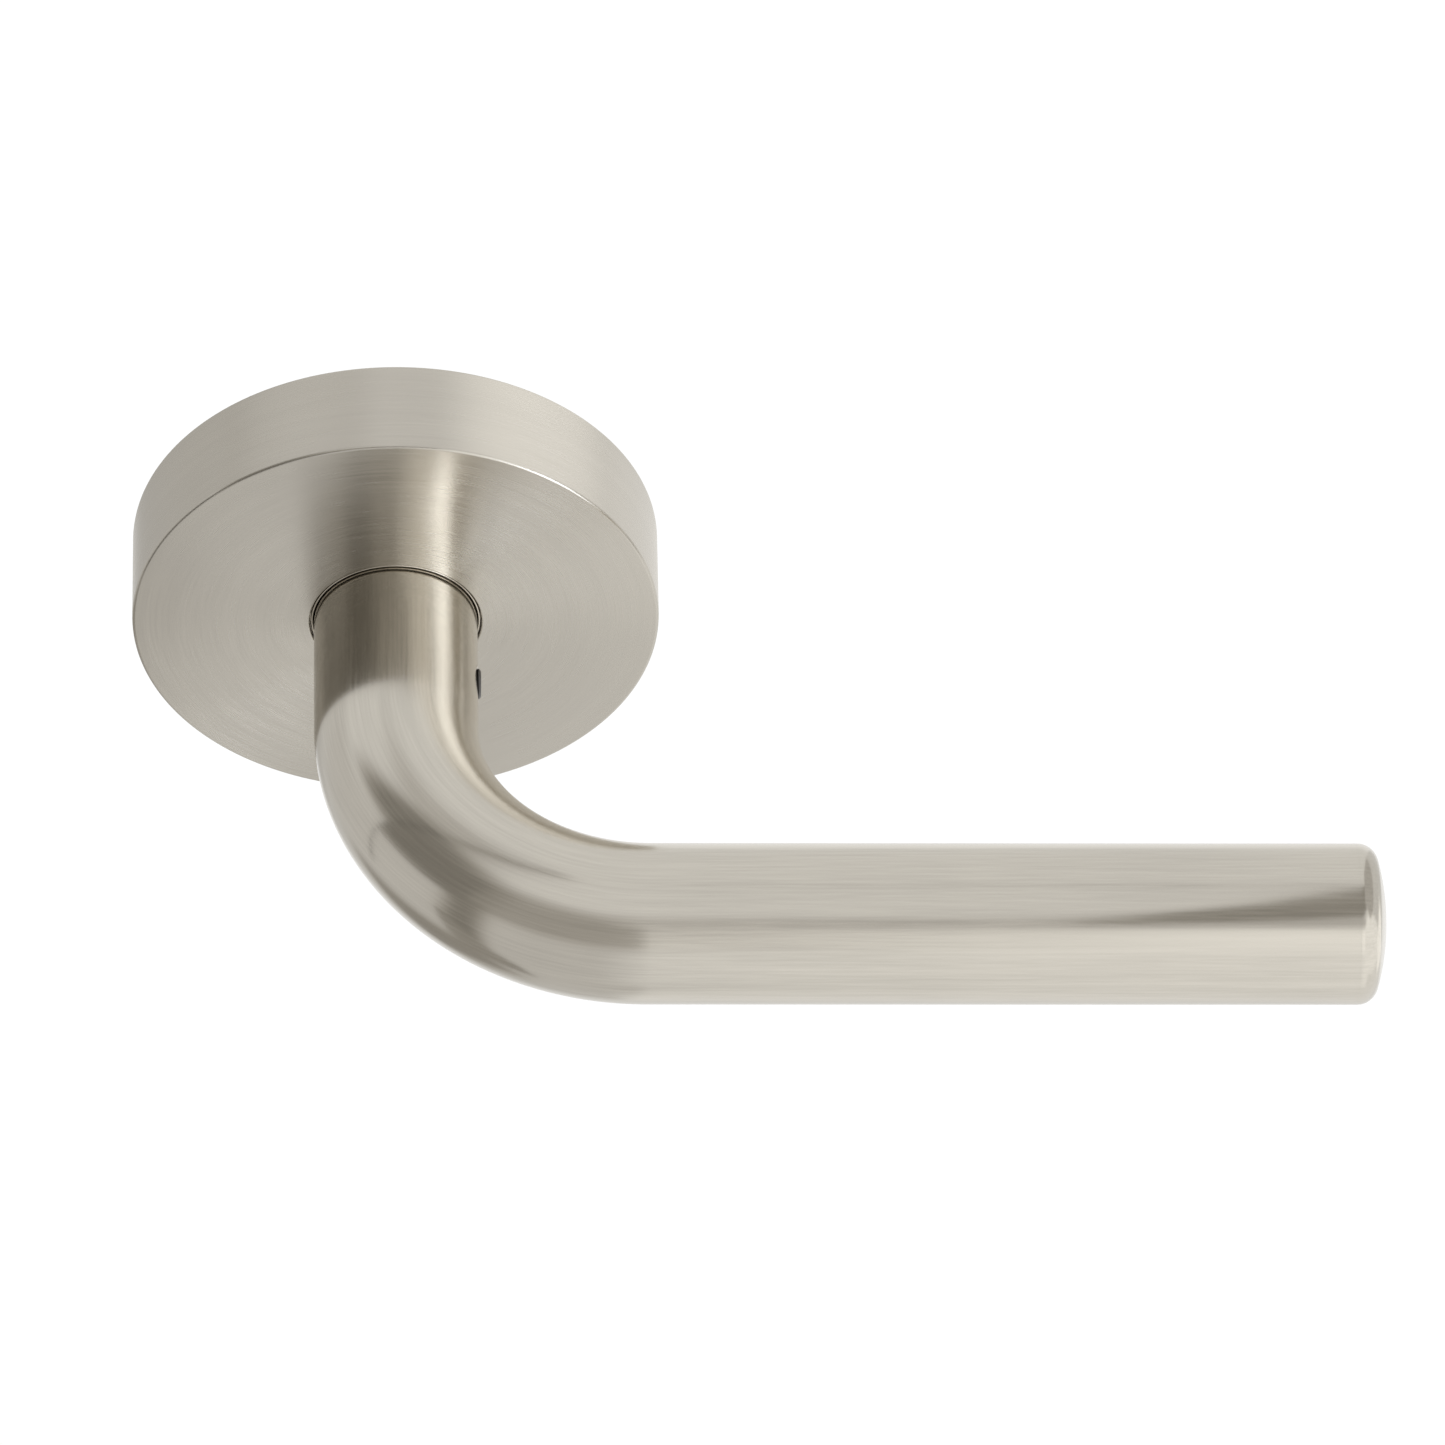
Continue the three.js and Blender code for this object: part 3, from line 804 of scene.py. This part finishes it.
def build_lever():
    place(lever_tube(), "lever", "satin_nickel", lever_nickel, "lever_tube")
    place(tip_cap(), "lever", "satin_nickel", lever_nickel, "tip_cap")
    place(set_screw(), "lever", "black_steel", black_steel, "set_screw")
    place(neck_core(), "lever", "zinc_plate", zinc_plate, "neck_core")
    place(spindle(), "lever", "zinc_plate", zinc_plate, "spindle")
    place(drive_hub(), "lever", "cast_zinc", cast_zinc, "drive_hub")
    thrust_bore_r = 6.3
    back = washer("back_washer", JOURNAL_BORE_R)
    place(back, "lever", "zinc_plate", zinc_plate, "back_washer")
    thrust = washer("thrust_washer", thrust_bore_r)
    place(thrust, "lever", "nylon", nylon, "thrust_washer")


# ---- The rose ----


def rose_cover():
    """The cup. Its face falls away a little towards the edge, and is a little thicker."""
    inner_r = ROSE_R - COVER_WALL
    inner_depth = ROSE_DEPTH - COVER_WALL - 0.1
    fall, fall_start, fall_steps = 0.28, 20.0, 12
    face = []
    for i in range(fall_steps, -1, -1):
        r = fall_start + (ROSE_R - fall_start) * i / fall_steps
        edge = 0.35 if i == fall_steps else 0
        face.append((r, ROSE_DEPTH - fall * (i / fall_steps) ** 2, edge))
    corners = [
        (inner_r, 0, 0.15),
        (ROSE_R, 0, 0.3),
        *face,
        (COVER_HOLE_R, ROSE_DEPTH, 0.14),
        (COVER_HOLE_R, inner_depth, 0.1),
        (inner_r, inner_depth, 0.6),
    ]
    return lathe("rose_cover_shell", rounded(corners, steps=5, guard=0.06), 192)


def cover_snap_ring():
    """A nylon band with a bead that the cover snaps over."""
    back, outer_r = depths("cover_snap_ring")[0], high("cover_snap_ring").x
    band, bead, height = 1.3, 0.2, 5
    bead_back, bead_front = back + 2.2, back + 3
    corners = [
        (outer_r - band, back, 0.15),
        (outer_r - bead, back, 0.15),
        (outer_r - bead, bead_back - 0.6, 0.3),
        (outer_r, bead_back, 0.3),
        (outer_r, bead_front, 0.3),
        (outer_r - bead, back + height, 0.1),
        (outer_r - band, back + height, 0.15),
    ]
    return lathe("cover_snap_ring_band", rounded(corners, steps=2, guard=0.04), 128)


def screw_holes():
    """Outlines of the holes for the cassette's screws."""
    centres = [at_clock(SCREW_CIRCLE_R, clock) for clock in SCREW_ANGLES]
    return [circle(SCREW_CLEARANCE_R, 32, centre) for centre in centres]


def mounting_plate():
    """The disc on the door, with holes for the hub's bush, the cassette's screws, two wood
    screws and the posts."""
    bush_hole_r, post_hole_r = 8.7, 2.9
    wood_screw_r, wood_screw_circle_r = 2.1, 27.3
    holes = [circle(bush_hole_r, 64), *screw_holes()]
    holes += [circle(wood_screw_r, 40, at_clock(wood_screw_circle_r, clock)) for clock in (0, 180)]
    holes += [circle(post_hole_r, 40, (side * POST_X, 0)) for side in (-1, 1)]
    return prism("mounting_plate_disc", circle(PLATE_R, 160), 0, PLATE_TOP, 0.15, holes)


def bolt_post(name, side):
    """A post with a threaded hole. Its spigot passes through the plate."""
    hole_r, thread_r, mouth_r, pitch = 2.1, 2.4, 2.45, 0.8
    hole_end, plain = -2.0, 0.1
    profile = [(0, hole_end), (hole_r - 0.1, hole_end)]
    for i in range(int((POST_REACH + hole_end - plain) / pitch)):
        root = hole_end - i * pitch
        profile += [(thread_r, root - pitch * 0.4), (thread_r, root - pitch * 0.55)]
        profile += [(hole_r, root - pitch * 0.9), (hole_r, root - pitch)]
    profile.append((mouth_r, -POST_REACH))
    spigot_r, foot, spigot_top = 2.6, -0.3, PLATE_TOP - 0.1
    corners = [
        (mouth_r, -POST_REACH, 0),
        (POST_R, -POST_REACH, 0.5),
        (POST_R, foot, 0.2),
        (spigot_r, foot, 0.1),
        (spigot_r, spigot_top, 0.2),
        (0, spigot_top, 0),
    ]
    profile += rounded(corners, closed=False)[1:]
    post = lathe(name, profile, 64, closed=False)
    post.data.transform(Matrix.Translation((side * POST_X * MM, 0, 0)))
    return post


def rear_bush():
    """The flanged bush for the hub's journal."""
    back, front = depths("rear_bush")
    sleeve_r, flange_r, flange_back = 8.4, high("rear_bush").x, 2.3
    corners = [
        (JOURNAL_BORE_R, back, 0.15),
        (sleeve_r, back, 0.2),
        (sleeve_r, flange_back, 0.1),
        (flange_r, flange_back, 0.15),
        (flange_r, front, 0.15),
        (JOURNAL_BORE_R, front, 0.15),
    ]
    return lathe("rear_bush_sleeve", rounded(corners, steps=3, guard=0.03), 96)


def neck_bush():
    """The bush that the neck turns in. Its rim shows in the cover's hole."""
    back, front = depths("neck_bush")
    bore_r, flange_r, rim_r = NECK_R + 0.12, 12.6, 10.45
    flange_front = ROSE_DEPTH - COVER_WALL - 0.3
    corners = [
        (bore_r, back, 0.1),
        (flange_r, back, 0.15),
        (flange_r, flange_front, 0.15),
        (rim_r, flange_front, 0.05),
        (rim_r, front, 0.1),
        (bore_r, front, 0.1),
    ]
    return lathe("neck_bush_sleeve", rounded(corners, steps=3, guard=0.02), 160)


def cassette_lid():
    """The ring that closes the cassette, with a round ear for each screw."""
    lid_r, opening_r, ear_r = 25.0, 10.8, 2.6
    outline = []
    for clock in SCREW_ANGLES:
        x, z = at_clock(SCREW_CIRCLE_R, clock)
        heading = math.atan2(z, x)
        outline += [at_clock(lid_r, clock + a) for a in range(-42, -5, 6)]
        for a in (1.9, 1.4, 0.9, 0.45, 0, -0.45, -0.9, -1.4, -1.9):
            outline.append((x + ear_r * math.cos(heading + a), z + ear_r * math.sin(heading + a)))
        outline += [at_clock(lid_r, clock + a) for a in range(6, 46, 6)]
    start, end = depths("cassette_lid")
    holes = [circle(opening_r, 96), *screw_holes()]
    return prism("cassette_lid_ring", outline, start, end, 0.08, holes)


def cassette_screw(node, clock):
    """A pan-head screw with a cross recess."""
    shank_r, head_r, head_height = 1.4, 2.7, 1.45
    pitch, point, plain = 0.5, 0.3, 0.5
    start, head_front = depths(node)
    head_back = head_front - head_height
    root_r = shank_r - 0.2
    turns = int((head_back - start - point - plain) / pitch)
    profile = [(0, start), (shank_r - 0.5, start), (root_r, start + point)]
    profile += thread(root_r, shank_r, start + point, pitch, turns)
    profile.append((shank_r, head_back))
    head = [(shank_r, head_back, 0), (head_r, head_back, 0.1)]
    head += [(head_r, head_front, 0.9), (0, head_front, 0)]
    profile += rounded(head, closed=False)[1:]
    screw = lathe(node + "_body", profile, 40, closed=False)
    recess_width, recess_length, recess_depth = 0.6, 2.8, 0.9
    for size in ((recess_width, recess_length), (recess_length, recess_width)):
        cutter = prism("cutter", rectangle(*size), head_front - recess_depth, head_front + 1)
        boolean(screw, cutter)
    x, z = at_clock(SCREW_CIRCLE_R, clock)
    screw.data.transform(Matrix.Translation((x * MM, 0, z * MM)))
    return screw


def spring_leg(angle, depth, end_r, side):
    """A leg from its outer end in to the coil, round a small corner. side is 1 where the coil
    leaves the leg clockwise, and -1 where it leaves it the other way."""
    out = Vector((math.sin(angle), 0, math.cos(angle)))
    tangent = Vector((math.cos(angle), 0, -math.sin(angle))) * side
    to_depth = Vector((0, -depth, 0))
    foot_r = (SPRING_R + SPRING_CORNER_R) * math.cos(SPRING_LEAN)
    centre = out * foot_r + tangent * SPRING_CORNER_R
    leg_steps, corner_steps = 6, 10
    points = []
    for i in range(leg_steps):
        points.append(out * (end_r + (foot_r - end_r) * i / leg_steps) + to_depth)
    for i in range(corner_steps):
        a = (math.pi / 2 - SPRING_LEAN) * i / corner_steps
        back, inward = SPRING_CORNER_R * math.cos(a), SPRING_CORNER_R * math.sin(a)
        points.append(centre - tangent * back - out * inward + to_depth)
    return points


def wire(name, path, radius):
    """A round wire along a path, with flat ends."""
    around = 14
    verts, rings = [], []
    for i, p in enumerate(path):
        ahead = (path[min(i + 1, len(path) - 1)] - path[max(i - 1, 0)]).normalized()
        side = ahead.cross(Vector((0, 1, 0))).normalized()
        up = side.cross(ahead)
        rings.append(list(range(len(verts), len(verts) + around)))
        for j in range(around):
            a = TAU * j / around
            verts.append(p + side * (radius * math.cos(a)) + up * (radius * math.sin(a)))
    ends = [tuple(rings[0]), tuple(reversed(rings[-1]))]
    return make_mesh(name, verts, bands(rings) + ends)


def return_spring():
    """One and a half turns of wire, with a straight leg at each end."""
    hub_leg_end_r, housing_leg_end_r = 17.2, 24.0
    path = spring_leg(0, SPRING_START, hub_leg_end_r, 1)
    steps = 96
    for i in range(steps + 1):
        a = SPRING_LEAN + (SPRING_SWEEP - 2 * SPRING_LEAN) * i / steps
        depth = SPRING_START + SPRING_RISE * i / steps
        path.append(Vector((SPRING_R * math.sin(a), -depth, SPRING_R * math.cos(a))))
    last_leg = spring_leg(SPRING_SWEEP, SPRING_START + SPRING_RISE, housing_leg_end_r, -1)
    return wire("return_spring_wire", [*path, *reversed(last_leg)], SPRING_WIRE_R)


def build_rose():
    place(rose_cover(), "rose", "satin_nickel", rose_nickel, "rose_cover")
    place(cover_snap_ring(), "rose", "nylon", nylon, "cover_snap_ring")
    place(mounting_plate(), "rose", "zinc_plate", zinc_plate, "mounting_plate")
    place(rear_bush(), "rose", "nylon", nylon, "rear_bush")
    place(neck_bush(), "rose", "bright_ring", bright_ring, "neck_bush")
    place(cassette_lid(), "rose", "zinc_plate", zinc_plate, "cassette_lid")
    for i, clock in enumerate(SCREW_ANGLES, 1):
        node = f"cassette_screw_{i}"
        place(cassette_screw(node, clock), "rose", "zinc_plate", zinc_plate, node)
    for side, node in ((-1, "bolt_post_left"), (1, "bolt_post_right")):
        place(bolt_post(node + "_body", side), "rose", "zinc_plate", zinc_plate, node)
    spring = return_spring()
    spring.data.materials.append(spring_steel)
    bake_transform(spring)
    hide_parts("return_spring")
    for node, material in (("cassette_housing", cast_zinc), ("hub_circlip", spring_steel)):
        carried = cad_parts[node]
        carried.data.materials.clear()
        carried.data.materials.append(material)


# ---- The studio ----

CAMERA_RISE = math.radians(49.78)
CAMERA_SWING = math.radians(2.83)
CAMERA_ROLL = math.radians(2.22)
CAMERA_AIM = Vector((40.05, -29.55, 0)) * MM
CAMERA_DISTANCE = 1.6667
CAMERA_LENS = 338.2


def build_camera():
    """The camera looks down at its aim, from straight in front but for a little swing."""
    level = math.cos(CAMERA_RISE)
    across, inwards = math.sin(CAMERA_SWING), math.cos(CAMERA_SWING)
    ahead = Vector((across * level, inwards * level, -math.sin(CAMERA_RISE)))
    right = Vector((inwards, -across, 0))
    up = right.cross(ahead)
    c, s = math.cos(CAMERA_ROLL), math.sin(CAMERA_ROLL)
    rolled_right = right * c + up * s
    rolled_up = up * c - right * s
    data = bpy.data.cameras.new("camera")
    data.lens = CAMERA_LENS
    data.sensor_width = 36.0
    data.clip_end = 100.0
    camera = linked("camera", data)
    turn = Matrix((rolled_right, rolled_up, -ahead)).transposed().to_4x4()
    camera.matrix_world = Matrix.Translation(CAMERA_AIM - ahead * CAMERA_DISTANCE) @ turn
    bpy.context.scene.camera = camera


# The light that comes from each part of the studio. A part is (swing from, swing to, its
# softness, rise from, rise to, its softness, light). Swing is in degrees to the right of
# straight out from the door, and rise is above the horizon. Later parts cover earlier ones.
STUDIO_LIGHT = 0.87
STUDIO_PARTS = (
    (-128, -6, 18, -90, 12, 14, 0.70),  # pale wall at the left
    (-165, -130, 16, -60, 12, 16, 0.60),  # its shaded end
    (118, 152, 20, -10, 52, 24, 1.25),  # light from the back at the right
    (120, 179, 30, 70, 74, 4, 0.66),  # a rail under the ceiling
    (-158, -92, 30, 50, 74, 14, 0.60),  # dim ceiling at the left
    (-112, -68, 16, 19, 60, 16, 0.28),  # unlit room behind the photographer
    (-72, 2, 18, 14, 55, 16, 0.35),  # its doorway
    (-50, 2, 14, 14, 55, 16, 0.46),  # the lit side of the doorway
    (-62, -49, 8, -52, 18, 10, 0.28),  # a stand in front of the pale wall
    (-112, -55, 14, -72, -45, 12, 0.36),  # its foot and shadow
    (-20, 8, 16, -66, -45, 8, 0.68),  # the floor in front
    (3, 105, 5, -30, 45, 10, 1.09),  # pale wall at the right
    (3, 105, 5, 8, 48, 22, 1.34),  # its sunlit upper half
    (0, 3.4, 2.5, 33, 50, 8, 0.58),  # a shelf's end on it
    (-8, 30, 16, 44, 57, 8, 0.62),  # the wall's dark top
    (29, 66, 18, -14, 22, 20, 4.2),  # softbox
    (5, 105, 8, -90, -20, 8, 0.98),  # the floor at the right
    (26, 84, 18, -24, -12, 4, 0.50),  # the shadow under the softbox
    (10, 34, 8, -48, -12, 10, 1.15),  # a pale mat on the floor
)


def studio_light(n, direction):
    """The studio's light from a direction, as a socket."""
    x, y, z = n.parts(direction)
    swing = n.maths("DEGREES", n.maths("ARCTAN2", x, n.maths("MULTIPLY", y, -1.0)))
    rise = n.maths("DEGREES", n.maths("ARCSINE", z))

    def inside(angle, start, end, softness):
        enter = n.smooth(angle, start - softness / 2, start + softness / 2)
        leave = n.smooth(angle, end + softness / 2, end - softness / 2)
        return n.maths("MULTIPLY", enter, leave)

    light = STUDIO_LIGHT
    for left, right, side_soft, bottom, top, end_soft, radiance in STUDIO_PARTS:
        in_swing = inside(swing, left, right, side_soft)
        in_rise = inside(rise, bottom, top, end_soft)
        light = n.mixed(light, radiance, n.maths("MULTIPLY", in_swing, in_rise))
    return light


def shaded(n, light):
    """The colour of a light: warm in the shade, grey where it is bright, and cool in a lamp."""
    shade, lamp = n.smooth(light, 0.85, 0.2), n.smooth(light, 1.4, 2.6)

    def channel(in_shade, in_lamp):
        shade_factor, lamp_factor = n.between(shade, 1.0, in_shade), n.between(lamp, 1.0, in_lamp)
        return n.maths("MULTIPLY", light, n.maths("MULTIPLY", shade_factor, lamp_factor))

    return n.xyz(light, channel(0.95, 1.05), channel(0.87, 1.15))


def glow(n, light):
    """Makes a material shine with a light."""
    emission = n.add("ShaderNodeEmission", {"Color": shaded(n, light)})
    n.add("ShaderNodeOutputMaterial", {"Surface": emission.outputs[0]})


def build_world():
    world = bpy.data.worlds.new("studio")
    bpy.context.scene.world = world
    world.use_nodes = True
    n = Nodes(world.node_tree)
    light = studio_light(n, n.add("ShaderNodeTexCoord").outputs["Generated"])
    background = n.add("ShaderNodeBackground", {"Color": shaded(n, light)})
    n.add("ShaderNodeOutputWorld", {"Surface": background.outputs[0]})


def staged_mesh(name, corners, faces, material):
    """A mesh of the studio, from corners in metres."""
    mesh = bpy.data.meshes.new(name)
    mesh.from_pydata([Vector(corner) for corner in corners], [], faces)
    mesh.materials.append(material)
    obj = linked(name, mesh)
    return obj


def build_floor():
    """The floor takes the studio's light, and it is white where the camera sees it. Its sizes
    are in metres."""
    half, level, white = 8.0, -1.2, 1.03
    material, n = new_material("pale_floor")
    spot = n.position()
    x, y, _ = n.parts(spot)
    towards = n.add("ShaderNodeVectorMath", {0: spot}, operation="NORMALIZE").outputs[0]
    in_view = n.maths("MULTIPLY", n.smooth(y, 0.3, 0.72), n.smooth(x, -0.7, -0.3))
    glow(n, n.mixed(studio_light(n, towards), white, in_view))
    corners = [(x, y, level) for x, y in rectangle(2 * half, 2 * half)]
    staged_mesh("floor", corners, [(0, 1, 2, 3)], material)


def card(name, light, corners, faces=None):
    """A card close to the object, seen only in reflections. Its corners are in millimetres. It
    is one face if no faces are given."""
    material, n = new_material(name)
    glow(n, light)
    faces = faces or [tuple(range(len(corners)))]
    obj = staged_mesh(name, [Vector(corner) * MM for corner in corners], faces, material)
    obj.visible_camera = False


def build_tip_cards():
    y, over, beyond = -PROJECTION, 100, TIP_X + 75
    # A dark flag over the tip and down beyond it.
    flag = [
        (TIP_X - 31, y - 90, over),
        (TIP_X - 31, y - 65, over),
        (TIP_X - 9, y - 20, over),
        (TIP_X + 3, y + 20, over),
        (beyond, y + 50, over),
        (beyond, y - 5, over),
        (TIP_X + 3, y - 62, over),
        (beyond, y + 60, 10),
        (beyond, y + 10, 10),
    ]
    card("tip_flag", 0.35, flag, [(0, 1, 2, 6), (2, 3, 5, 6), (3, 4, 5), (5, 4, 7, 8)])
    # A pale card beside the tip, so that the softbox leaves no hot spot on it.
    near, far = (TIP_X + 12, y - 60), (TIP_X + 60, y - 5)
    card("fill_card", 1.15, [(*near, -25), (*far, -25), (*far, 50), (*near, 50)])
    # Three near its end: duller ones above and towards the door, and a brighter one below.
    upper = [(y - 9, 20), (-5, 20), (-5, 90), (y - 17, 90), (y - 17, 28)]
    back = [(y + 8, -20), (-5, -20), (-5, 20), (y - 9, 20), (y - 5, 5), (y + 8, 5)]
    end = [(y - 10, -15), (y + 5, -15), (y + 5, 3), (y - 10, 3)]
    for name, light, outline in (
        ("upper_card", 0.55, upper),
        ("back_card", 0.75, back),
        ("end_card", 1.30, end),
    ):
        card(name, light, [(TIP_X + 18, *corner) for corner in outline])


def build_neck_cards():
    # A dark flag at the left of the bend.
    left, right = (-100, -50), (-48, -100)
    card("bend_flag", 0.27, [(*left, 16), (*right, 16), (*right, 95), (*left, 95)])
    # A dark flag low in front at the left, for the left edge of the neck.
    low_flag = [(-64, -250), (-64, -140), (-75, -120), (-105, -95), (-150, -60)]
    low_flag += [(-190, -60), (-190, -250)]
    # Two dark cards over the bend, which only the neck sees, by way of the rose's face.
    shade_left = [(-72, -26), (-42, -26), (-42, 20), (-22, 40), (-22, 68), (-50, 60), (-72, 45)]
    shade_right = [(-22, 40), (16, 46), (16, 71), (-22, 68)]
    for name, light, depth, outline in (
        ("low_flag", 0.36, 150, low_flag),
        ("neck_shade_left", 0.13, 50, shade_left),
        ("neck_shade_right", 0.33, 50, shade_right),
    ):
        card(name, light, [(x, -depth, z) for x, z in outline])


bpy.context.scene.view_settings.view_transform = "Standard"
build_camera()
build_world()
build_floor()
build_tip_cards()
build_neck_cards()
build_rose()
build_lever()
